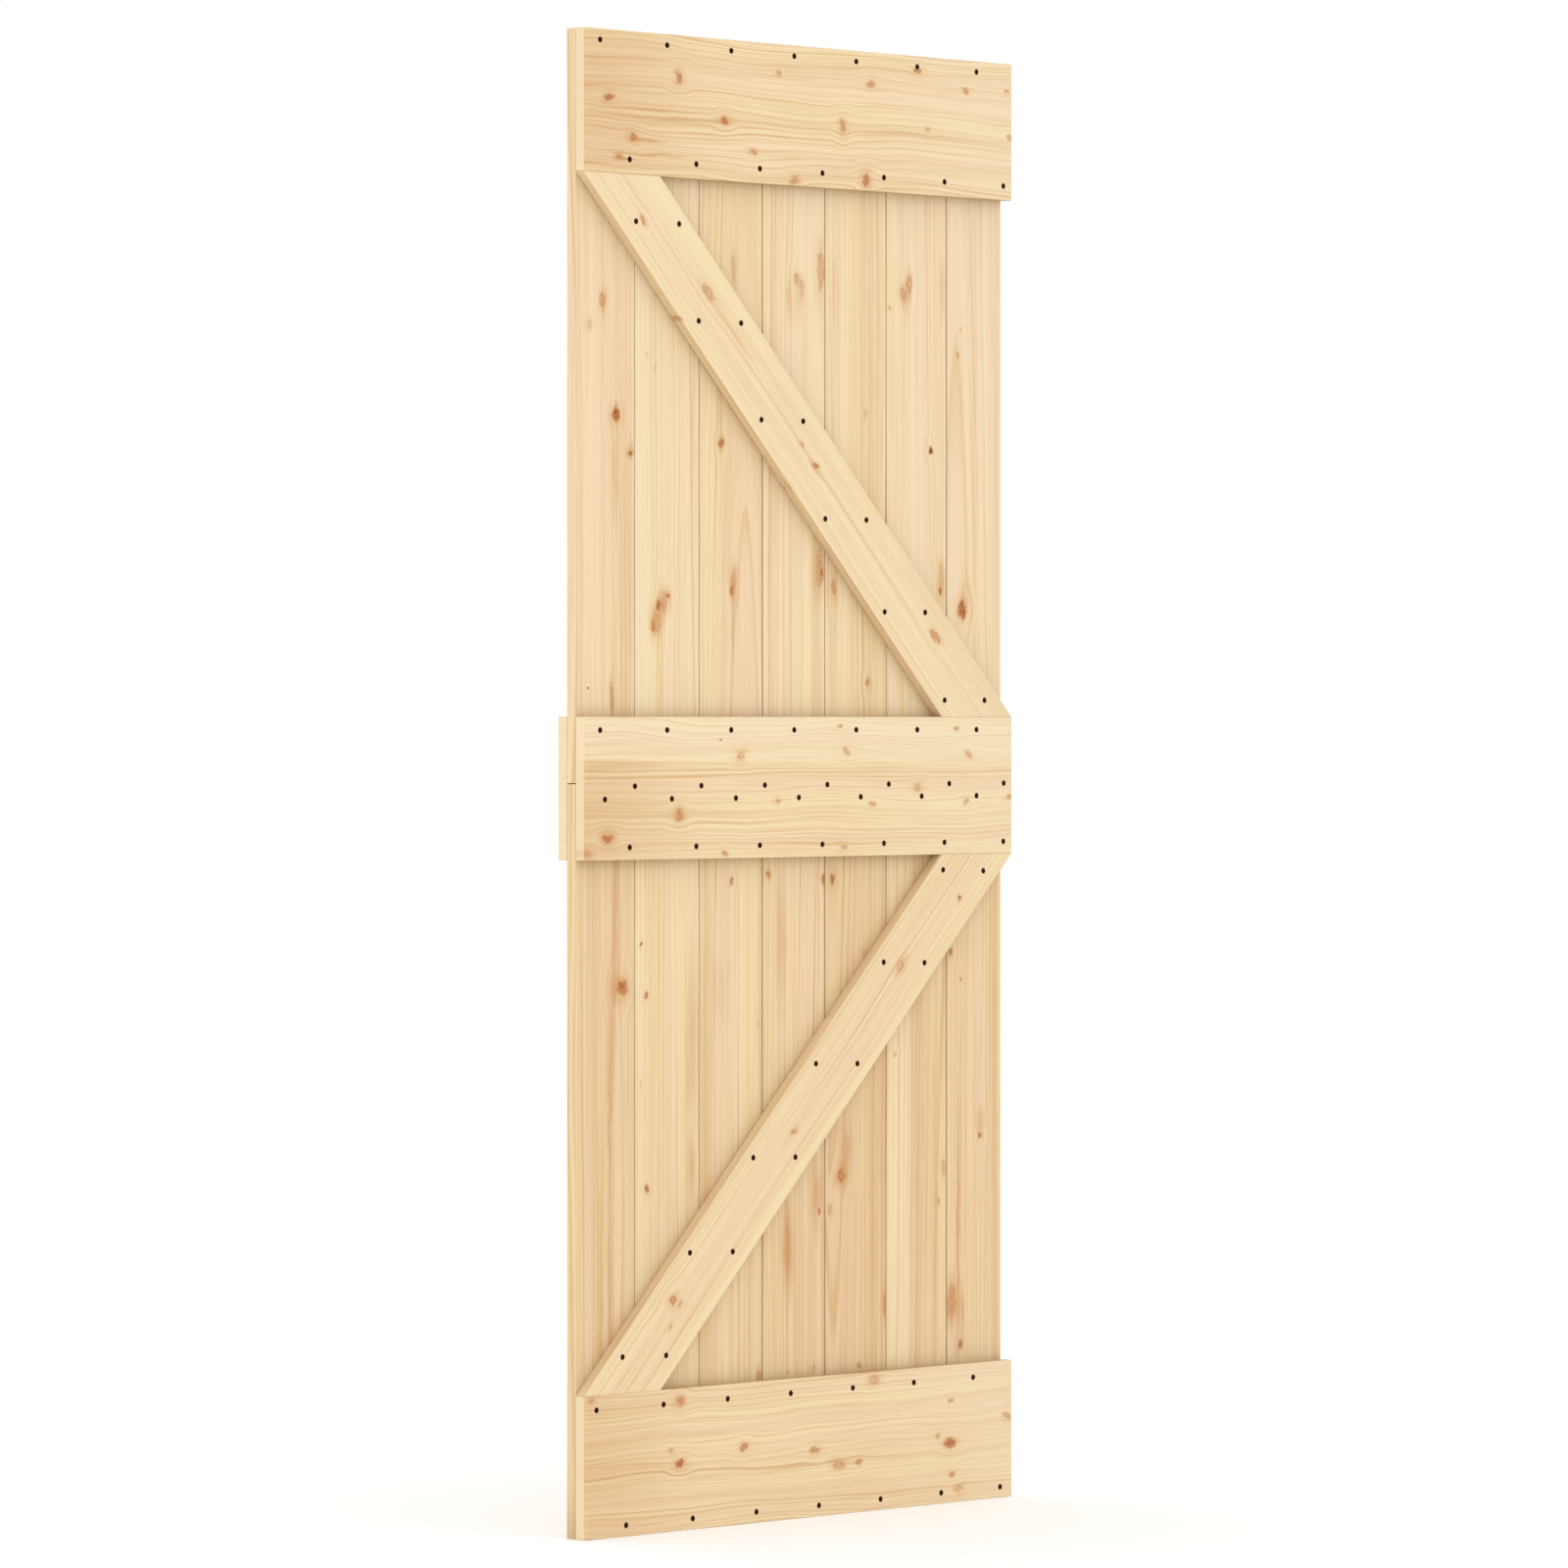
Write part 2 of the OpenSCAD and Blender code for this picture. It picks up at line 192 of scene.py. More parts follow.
        (-313, 1835, 5, 7, 0.65, 0.6), (-189, 1741, 7, 20, 0.5, 0.5), (-144, 1693, 4, 30, 0, 0.5),
        (-242, 1702, 4, 6, 0.5, 0.3), (-30, 1466, 6, 9, 0.55, 0.4), (25, 1501, 5, 7, 0.75, 0.5),
        (-5, 1534, 3, 5, 0.5, 0.2), (265, 1259, 7, 14, 0.65, 0.6),
    ],
    "lower_brace": [
        (316, 880, 5, 6, 0.8, 0.4), (195, 784, 6, 14, 0.4, 0.6), (-21, 551, 5, 7, 0.55, 0.5),
        (-256, 325, 8, 9, 0.7, 0.6), (-262, 286, 4, 5, 0.5, 0.2), (-241, 318, 3, 5, 0.4, 0.6),
    ],
}

# How far a whole piece leans towards amber, or below 0 towards cream
TONES = {
    "upper_board_2": -0.25, "upper_board_4": -0.22, "upper_board_5": -0.13, "upper_board_6": -0.15,
    "upper_board_7": -0.22, "lower_board_1": 0.18, "lower_board_2": 0.04, "lower_board_3": 0.12,
    "lower_board_4": 0.05, "lower_board_5": 0.26, "lower_board_6": 0.18, "lower_board_7": 0.12,
    "bottom_rail": -0.1, "upper_brace": -0.2, "lower_brace": -0.08,
}

# Height of the glue line in a rail that is made up of two strips, and the lean of the upper strip
GLUED = {"middle_rail": (1081, -0.4)}

# How each kind of stick is cut and shaded: distance of the pith from its middle in millimetres, growth rings
# in shares of the ring gap, strength of the growth lines, how far they wander in millimetres and over what
# length, and how far its narrow faces and its corners with other pieces are darkened with painted shade
CUTS = {
    "board": {
        "pith": (20, 80), "rings": 0.65, "line": 0.8, "wander": 14.0, "length": 700.0,
        "sawn": 0.0, "corner": 0.45},
    "rail": {
        "pith": (130, 220), "rings": 1.0, "line": 0.75, "wander": 28.0, "length": 280.0,
        "sawn": 1.0, "corner": 0.0},
    "brace": {
        "pith": (30, 100), "rings": 0.9, "line": 0.6, "wander": 18.0, "length": 400.0,
        "sawn": 0.4, "corner": 0.0},
}

# Bands of tone in the grain: width and length in millimetres, and how many finer layers they have
BANDS = {"hue": (24, 1500, 0.0), "broad": (15, 1300, 1.0), "narrow": (4.5, 900, 2.0)}

# The share of late wood before any line or band, and what the bands and fibres add to it
LATE_START = -0.97
LATE_WEIGHTS = {"broad": 0.45, "narrow": 1.15, "fibre": 0.7}

# Values of the hue band from which early wood begins to turn pink and is all pink
PINK_FROM = 0.4
PINK_FULL = 0.6

# Unevenness of stains and pale streaks: their least strength, and what the narrow bands add to it
STREAK_LEAST = 0.6
STREAK_UNEVEN = 0.8

# Growth rings: distance in millimetres over which the lines wander unlike each other, years that the broad
# bands shift the rings by, and the shares of a year at which late wood begins and is darkest
WANDER_WIDTH = 90.0
YEAR_SHIFT = 3.0
LATE_FROM = 0.55
LATE_FULL = 0.9

# Reaches of a knot or streak from its middle, in its own half widths and half lengths: the tint around it,
# the lines that part round it, the full core, the end of the core, and the paler middle of a pale core
TINT_REACH = 2.6
PARTING_REACH = 4.5
CORE_FULL = 0.5
CORE_END = 1.1
CORE_FILLED = 0.7

# Cores of knots: darkness that hides the grain, darkness from which the heart begins and is complete,
# how ragged the heart is, and the waves and strength of its rings
SOLID_CORE = 0.9
HEART_FROM = 0.68
HEART_FULL = 1.15
HEART_RAGGED = 0.8
HEART_WAVES = 20.0
HEART_RIPPLE = 0.35

# Ragged outlines of knots: size of the teeth in millimetres, and their height in half widths
RAGGED_SIZE = 7
RAGGED_DEPTH = 1.6

# Bends that put knots out of shape: size and depth in millimetres, along and across the grain
BEND_SIZE = (30, 12)
BEND_DEPTH = (14, 5, 0)

# Width and length of a fibre in millimetres
FIBRE_WIDTH = 1.6
FIBRE_LENGTH = 120

# How squarely a face has to look along or across the grain to count as an end or a narrow face, and how far
# the colour of the ends covers the grain
SQUARE = 0.8
END_COVER = 0.8

# Ranges of the draws for a stick: its place in the trunk and the depth of the pith in millimetres, the lean
# of the pith, and its ring gap in shares. The upper strip of a glued rail is from farther along the trunk.
STARTS = (1000, 90000)
PITH_DEPTHS = (25, 60)
LEANS = (-0.02, 0.02)
GAP_SHARES = (0.75, 1.25)
GLUED_STEP = 5000.0

# Values between which most of a noise lies
NOISE_LOW = 0.3
NOISE_HIGH = 0.7

# Least and most roughness of the pine and of the screws
PINE_ROUGH = (0.5, 0.64)
STEEL_ROUGH = (0.6, 0.75)

# Strength and height of the relief that the fibres give the pine
RELIEF = 0.25
RELIEF_HEIGHT = 0.2 * MM

# How many rays look for a nearby rail or brace, for the painted shade in the boards' corners
PAINTED_SHADE_RAYS = 4

# Size of the specks on the screws, and the values of the noise from which a speck begins and is full
SPECK = 0.5 * MM
SPECK_FROM = 0.4
SPECK_FULL = 0.75

# Shares that the recess of a screw narrows to at its floor, and the shank at its point
RECESS_TAPER = 0.55
POINT_TAPER = 0.03

# Degrees from one screw's angle to the next
SCREW_TURN = 137.5


def linear(hex_code):
    """An sRGB hex colour as linear red, green, blue and alpha."""
    parts = [int(hex_code[i:i + 2], 16) / 255 for i in (1, 3, 5)]
    return [c / 12.92 if c <= 0.04045 else ((c + 0.055) / 1.055) ** 2.4 for c in parts] + [1.0]


def add(tree, kind, links=None, **settings):
    """Adds a node with its settings, and links or sets its sockets."""
    node = tree.nodes.new(kind)
    for name, value in settings.items():
        setattr(node, name, value)
    shown = [socket for socket in node.inputs if socket.enabled]
    for key, value in (links or {}).items():
        socket = shown[key] if isinstance(key, int) else node.inputs[key]
        if isinstance(value, bpy.types.Node):
            value = next(output for output in value.outputs if output.enabled)
        if isinstance(value, bpy.types.NodeSocket):
            tree.links.new(value, socket)
        else:
            socket.default_value = value
    return node


def empty_tree(owner):
    """The node tree of a material or a world, with nothing in it."""
    owner.use_nodes = True
    owner.node_tree.nodes.clear()
    return owner.node_tree


def placed(name, data):
    """A new object in the scene."""
    thing = bpy.data.objects.new(name, data)
    bpy.context.scene.collection.objects.link(thing)
    return thing


def colour(name, description, hex_code):
    """A colour that a user can change."""
    return FloatVectorProperty(
        name=name, description=description, subtype="COLOR", size=4, min=0, max=1, default=linear(hex_code))


class PineProperties(bpy.types.PropertyGroup):
    """Colours and growth rings of the pine."""

    straw: colour("Straw", "Early wood of the boards, where it is yellow", "#F5DDAD")
    blush: colour("Blush", "Early wood of the boards, where it is pink", "#F6DAB5")
    honey: colour("Honey", "Late wood of the boards", "#DFB87F")
    rail_straw: colour("Rail straw", "Early wood of the rails and braces, where it is yellow", "#F6E0B2")
    rail_blush: colour("Rail blush", "Early wood of the rails and braces, where it is pink", "#F6DBB3")
    rail_honey: colour("Rail honey", "Late wood of the rails and braces", "#DDB078")
    cream: colour("Cream", "Sapwood streaks", "#F8E9C6")
    end_grain: colour("End grain", "Cut ends of the wood", "#F6E0B8")
    amber: colour("Amber", "Resin-stained wood round a knot", "#D4A066")
    knot_red: colour("Knot", "Wood of a knot", "#C87A36")
    knot_dark: colour("Knot core", "Darkest wood of a knot", "#7E3E18")
    # Painted shade: this colour darkens the narrow faces of the rails and braces, where shade falls beside
    # the boards
    sawn: colour("Sawn", "Shade that the sawn narrow faces of the rails and braces add", "#D8D2CA")
    ring_gap: FloatProperty(
        name="Ring gap", description="Distance between two growth rings", unit="LENGTH",
        default=8.5 * MM, min=1 * MM, max=15 * MM)
    # Reach of the painted shade in the boards' corners beside the rails and braces
    painted_shade_reach: FloatProperty(
        name="Corner reach", description="How far from a rail or brace the boards are darkened",
        unit="LENGTH", default=80 * MM, min=1 * MM, max=200 * MM)


class ScrewProperties(bpy.types.PropertyGroup):
    """Sizes and finish of the cross-head screws."""

    recess_span: FloatProperty(
        name="Recess span", description="Width of the cross recess over two arms",
        unit="LENGTH", default=4.2 * MM)
    recess_width: FloatProperty(
        name="Recess width", description="Width of one arm of the recess", unit="LENGTH", default=1.1 * MM)
    recess_depth: FloatProperty(
        name="Recess depth", description="Depth of the recess", unit="LENGTH", default=1.6 * MM)
    head_edge: FloatProperty(
        name="Head edge", description="Rounding of the edge of a head", unit="LENGTH", default=0.15 * MM)
    head_rim: FloatProperty(
        name="Head rim", description="Height of the straight rim of a head", unit="LENGTH", default=0.4 * MM)
    shank: FloatProperty(name="Shank", description="Diameter of the shank", unit="LENGTH", default=4 * MM)
    point: FloatProperty(name="Point", description="Length of the point", unit="LENGTH", default=6 * MM)
    segments: IntProperty(name="Segments", description="Sides of a screw", default=24, min=12, max=48)
    phosphate: colour("Phosphate", "Black of the screws", "#32160A")
    worn: colour("Worn", "Lighter specks of the screws", "#40220F")


class StudioProperties(bpy.types.PropertyGroup):
    """Camera, light and floor."""

    camera_place: FloatVectorProperty(
        name="Camera place", description="Where the camera stands", subtype="TRANSLATION", unit="LENGTH",
        default=(-7.3641, -7.6072, 1.14))
    camera_turn: FloatProperty(
        name="Camera turn", description="How far the camera looks to the right of straight on",
        subtype="ANGLE", default=math.radians(44.017))
    lens: FloatProperty(name="Lens", description="Focal length in millimetres", default=170.055)
    drop: FloatProperty(
        name="Drop", description="Shift of the frame below the camera's axis", default=0.0415)
    fill: FloatProperty(name="Fill", description="Strength of the white surroundings", default=1.0)
    lamp_place: FloatVectorProperty(
        name="Lamp place", description="Where the soft lamp hangs", subtype="TRANSLATION", unit="LENGTH",
        default=(-4.2, -3.6, 2.2))
    lamp_power: FloatProperty(
        name="Lamp power", description="Power of the soft lamp", unit="POWER", default=25)
    lamp_size: FloatProperty(
        name="Lamp size", description="Width of the soft lamp", unit="LENGTH", default=3)
    floor_size: FloatProperty(
        name="Floor size", description="Half the floor's width", unit="LENGTH", default=60)
    floor: colour("Floor", "Colour of the floor", "#F2F2F2")
    floor_lift: FloatProperty(
        name="Floor lift", description="Light added to the floor as it is seen", default=0.16)


def spot_tree(name, inputs, outputs):
    """A node group for a spot in the grain, with its inputs, and a place's offset, distance and tint in it.

    The distance is in half lengths along the grain and half widths across it.
    """
    tree = bpy.data.node_groups.new(name, "ShaderNodeTree")
    for socket in ("Place", "Middle", "Half"):
        tree.interface.new_socket(socket, in_out="INPUT", socket_type="NodeSocketVector")
    for socket in inputs:
        tree.interface.new_socket(socket, in_out="INPUT", socket_type="NodeSocketFloat")
    for socket in outputs:
        tree.interface.new_socket(socket, in_out="OUTPUT", socket_type="NodeSocketFloat")
    given = add(tree, "NodeGroupInput").outputs
    offset = add(tree, "ShaderNodeVectorMath", {0: given["Place"], 1: given["Middle"]}, operation="SUBTRACT")
    reach = add(tree, "ShaderNodeVectorMath", {0: offset, 1: given["Half"]}, operation="DIVIDE")
    reach = add(tree, "ShaderNodeVectorMath", {0: reach}, operation="LENGTH")
    fade = add(tree, "ShaderNodeMapRange", {
        "Value": reach, "From Max": TINT_REACH, "To Min": given["Stain"], "To Max": 0.0},
        interpolation_type="SMOOTHSTEP")
    tint = add(tree, "ShaderNodeMath", {0: fade, 1: given["Tint"]}, operation="ADD")
    return tree, given, offset, reach, tint


def streak_group():
    """One streak in the grain, amber or pale."""
    tree, _, _, _, tint = spot_tree("Pine streak", ("Tint", "Stain"), ("Tint",))
    add(tree, "NodeGroupOutput", {"Tint": tint})
    return tree


def knot_group():
    """One knot: grain that parts round a core, and the tint of the wood beside it."""
    tree, given, offset, reach, tint = spot_tree(
        "Pine knot", ("Ragged", "Parting", "Core", "Tint", "Darkness", "Stain"), ("Parting", "Core", "Tint"))
    # The core has a ragged outline, and is paler in its middle the paler the whole knot is
    ragged = add(tree, "ShaderNodeMath", {0: reach, 1: given["Ragged"]}, operation="ADD")
    core = add(tree, "ShaderNodeMapRange", {
        "Value": ragged, "From Min": CORE_FULL, "From Max": CORE_END,
        "To Min": given["Darkness"], "To Max": 0.0},
        interpolation_type="SMOOTHSTEP")
    filled = add(tree, "ShaderNodeMapRange", {
        "Value": ragged, "From Max": CORE_FILLED, "To Min": given["Darkness"]},
        interpolation_type="SMOOTHSTEP")
    core = add(tree, "ShaderNodeMath", {0: core, 1: filled}, operation="MULTIPLY")
    core = add(tree, "ShaderNodeMath", {0: core, 1: given["Core"]}, operation="MAXIMUM")
    # Lines that ran through the core part round it, over a wider reach
    part = add(tree, "ShaderNodeMapRange", {
        "Value": reach, "From Max": PARTING_REACH, "To Min": given["Darkness"], "To Max": 0.0},
        interpolation_type="SMOOTHSTEP")
    aside = add(tree, "ShaderNodeSeparateXYZ", {0: offset}).outputs["Y"]
    part = add(tree, "ShaderNodeMath", {0: part, 1: aside}, operation="MULTIPLY")
    part = add(tree, "ShaderNodeMath", {0: given["Parting"], 1: part}, operation="SUBTRACT")
    add(tree, "NodeGroupOutput", {"Parting": part, "Core": core, "Tint": tint})
    return tree


def grain_group():
    """Growth rings, bands and fibres of one stick of pine, with its knots and streaks coloured in."""
    tree = bpy.data.node_groups.new("Pine grain", "ShaderNodeTree")
    for name in ("Along", "Across", "Depth", "Fibre", "Ragged", "Core", "Tint", "End", "Edge",
                 "Pith Across", "Pith Depth", "Lean", "Ring Gap", "Line", "Wander", "Wander Length", "Draw"):
        tree.interface.new_socket(name, in_out="INPUT", socket_type="NodeSocketFloat")
    for name in ("Straw", "Blush", "Honey", "Cream", "Amber", "End Grain", "Sawn", "Knot", "Knot Core"):
        tree.interface.new_socket(name, in_out="INPUT", socket_type="NodeSocketColor")
    tree.interface.new_socket("Color", in_out="OUTPUT", socket_type="NodeSocketColor")
    given = add(tree, "NodeGroupInput").outputs
    drawn = add(tree, "ShaderNodeMath", {0: given["Along"], 1: given["Draw"]}, operation="ADD")
    # The lines wander to and fro along the stick, and not all alike across it
    run = add(tree, "ShaderNodeMath", {0: drawn, 1: given["Wander Length"]}, operation="DIVIDE")
    aside = add(tree, "ShaderNodeMath", {0: given["Across"], 1: WANDER_WIDTH}, operation="DIVIDE")
    wander = add(tree, "ShaderNodeCombineXYZ", {"X": aside, "Y": run, "Z": 0.0})
    wander = add(tree, "ShaderNodeTexNoise", {"Vector": wander, "Scale": 1.0, "Detail": 1.0})
    wander = add(tree, "ShaderNodeMath", {0: wander, 1: 0.5}, operation="SUBTRACT")
    side = add(tree, "ShaderNodeMath",
               {0: wander, 1: given["Wander"], 2: given["Across"]}, operation="MULTIPLY_ADD")
    # Distance from the pith, which leans through the stick
    side = add(tree, "ShaderNodeMath", {0: side, 1: given["Pith Across"]}, operation="SUBTRACT")
    lean = add(tree, "ShaderNodeMath",
               {0: given["Along"], 1: given["Lean"], 2: given["Pith Depth"]}, operation="MULTIPLY_ADD")
    deep = add(tree, "ShaderNodeMath", {0: given["Depth"], 1: lean}, operation="SUBTRACT")
    radius = add(tree, "ShaderNodeCombineXYZ", {"X": side, "Y": deep, "Z": 0.0})
    radius = add(tree, "ShaderNodeVectorMath", {0: radius}, operation="LENGTH")
    # Bands of tone at three widths, drawn out along the grain
    rings = add(tree, "ShaderNodeCombineXYZ", {"X": radius, "Y": drawn, "Z": 0.0})
    band = {"fibre": given["Fibre"]}
    for name, (width, length, detail) in BANDS.items():
        scale = (1 / width, 1 / length, 0)
        scaled = add(tree, "ShaderNodeVectorMath", {0: rings, 1: scale}, operation="MULTIPLY")
        band[name] = add(tree, "ShaderNodeTexNoise", {"Vector": scaled, "Scale": 1.0, "Detail": detail})
    # Growth rings: late wood darkens slowly and ends sharply, and no two years are alike
    years = add(tree, "ShaderNodeMath", {0: radius, 1: given["Ring Gap"]}, operation="DIVIDE")
    years = add(tree, "ShaderNodeMath",
                {0: band["broad"], 1: YEAR_SHIFT, 2: years}, operation="MULTIPLY_ADD")
    season = add(tree, "ShaderNodeMath", {0: years}, operation="FRACT")
    year = add(tree, "ShaderNodeMath", {0: years}, operation="FLOOR")
    year = add(tree, "ShaderNodeMath", {0: year, 1: given["Draw"]}, operation="ADD")
    year = add(tree, "ShaderNodeTexWhiteNoise", {"W": year}, noise_dimensions="1D")
    late = add(tree, "ShaderNodeMapRange", {
        "Value": season, "From Min": LATE_FROM, "From Max": LATE_FULL},
        interpolation_type="SMOOTHSTEP")
    ends = add(tree, "ShaderNodeMapRange", {
        "Value": season, "From Min": LATE_FULL, "To Min": 1.0, "To Max": 0.0},
        interpolation_type="SMOOTHSTEP")
    late = add(tree, "ShaderNodeMath", {0: late, 1: ends}, operation="MULTIPLY")
    late = add(tree, "ShaderNodeMath", {0: late, 1: year.outputs["Value"]}, operation="MULTIPLY")
    # All of it as one share of late wood
    share = add(tree, "ShaderNodeMath", {0: late, 1: given["Line"], 2: LATE_START}, operation="MULTIPLY_ADD")
    for name, weight in LATE_WEIGHTS.items():
        share = add(tree, "ShaderNodeMath", {0: band[name], 1: weight, 2: share}, operation="MULTIPLY_ADD")
    hue = add(tree, "ShaderNodeMapRange",
              {"Value": band["hue"], "From Min": PINK_FROM, "From Max": PINK_FULL})
    wood = add(tree, "ShaderNodeMix", {0: hue, 1: given["Straw"], 2: given["Blush"]}, data_type="RGBA")
    wood = add(tree, "ShaderNodeMix", {0: share, 1: wood, 2: given["Honey"]}, data_type="RGBA")
    # Stains and pale streaks take in the grain's own unevenness
    streak = add(tree, "ShaderNodeMath",
                 {0: band["narrow"], 1: STREAK_UNEVEN, 2: STREAK_LEAST}, operation="MULTIPLY_ADD")
    streak = add(tree, "ShaderNodeMath", {0: streak, 1: given["Tint"]}, operation="MULTIPLY")
    pale = add(tree, "ShaderNodeMath", {0: streak, 1: -1.0}, operation="MULTIPLY")
    wood = add(tree, "ShaderNodeMix", {0: pale, 1: wood, 2: given["Cream"]}, data_type="RGBA")
    wood = add(tree, "ShaderNodeMix", {0: streak, 1: wood, 2: given["Amber"]}, data_type="RGBA")
    wood = add(tree, "ShaderNodeMix", {0: given["End"], 1: wood, 2: given["End Grain"]}, data_type="RGBA")
    # Knots darken towards their middle, and have growth rings of their own
    heart = add(tree, "ShaderNodeMath",
                {0: given["Ragged"], 1: HEART_RAGGED, 2: given["Core"]}, operation="MULTIPLY_ADD")
    heart = add(tree, "ShaderNodeMapRange", {"Value": heart, "From Min": HEART_FROM, "From Max": HEART_FULL})
    ripple = add(tree, "ShaderNodeMath", {0: given["Core"], 1: HEART_WAVES}, operation="MULTIPLY")
    ripple = add(tree, "ShaderNodeMath", {0: ripple}, operation="SINE")
    heart = add(tree, "ShaderNodeMath", {0: ripple, 1: HEART_RIPPLE, 2: heart}, operation="MULTIPLY_ADD")
    knot = add(tree, "ShaderNodeMix", {0: heart, 1: given["Knot"], 2: given["Knot Core"]}, data_type="RGBA")
    solid = add(tree, "ShaderNodeMapRange", {"Value": given["Core"], "From Max": SOLID_CORE})
    wood = add(tree, "ShaderNodeMix", {0: solid, 1: wood, 2: knot}, data_type="RGBA")
    # Painted shade: the narrow faces of the rails and braces are multiplied by a darker colour
    wood = add(tree, "ShaderNodeMix", {0: given["Edge"], 1: wood, 2: given["Sawn"]},
               data_type="RGBA", blend_type="MULTIPLY")
    add(tree, "NodeGroupOutput", {"Color": wood})
    return tree


def shared_group(name, make):
    """The node group of that name, made the first time."""
    return bpy.data.node_groups.get(name) or make()


def grown_spots(tree, piece, along, across, axes, ragged, tone):
    """Knots and streaks of a piece: how they part the grain, their cores, and the tint of the wood."""
    # They are bent out of shape by some millimetres, mostly along the grain
    face = add(tree, "ShaderNodeCombineXYZ", {"X": axes["Along"], "Y": axes["Across"], "Z": 0.0})
    scale = (1 / BEND_SIZE[0], 1 / BEND_SIZE[1], 0)
    bend = add(tree, "ShaderNodeVectorMath", {0: face, 1: scale}, operation="MULTIPLY")
    bend = add(tree, "ShaderNodeTexNoise", {"Vector": bend, "Scale": 1.0, "Detail": 0.0}).outputs["Color"]
    bend = add(tree, "ShaderNodeVectorMath", {0: bend, 1: (0.5, 0.5, 0.5)}, operation="SUBTRACT")
    face = add(tree, "ShaderNodeVectorMath", {0: bend, 1: BEND_DEPTH, 2: face}, operation="MULTIPLY_ADD")
    grown = {"Parting": 0.0, "Core": 0.0, "Tint": tone}
    for x, z, half_across, half_along, darkness, stain in KNOTS[piece]:
        middle = Vector((x, 0, z))
        spot = {
            "Place": face, "Middle": (middle.dot(along), middle.dot(across), 0),
            "Half": (half_along, half_across, 1), "Stain": stain, "Tint": grown["Tint"]}
        if darkness:
            knot = add(tree, "ShaderNodeGroup", {**spot, **grown, "Ragged": ragged, "Darkness": darkness},
                       node_tree=shared_group("Pine knot", knot_group))
            grown = {name: knot.outputs[name] for name in grown}
        else:
            streak = add(tree, "ShaderNodeGroup", spot, node_tree=shared_group("Pine streak", streak_group))
            grown["Tint"] = streak.outputs["Tint"]
    return grown


def cut_faces(tree, along, across, sawn):
    """How far a place lies on an end or on a narrow face, by the way that it faces; the narrow faces take
    painted shade.
    """
    normal = add(tree, "ShaderNodeNewGeometry").outputs["True Normal"]
    faces = {}
    for name, axis, most in (("End", along, END_COVER), ("Edge", across, sawn)):
        facing = add(tree, "ShaderNodeVectorMath", {0: normal, 1: axis}, operation="DOT_PRODUCT")
        facing = add(tree, "ShaderNodeMath", {0: facing}, operation="ABSOLUTE")
        faces[name] = add(tree, "ShaderNodeMapRange", {"Value": facing, "From Min": SQUARE, "To Max": most})
    return faces


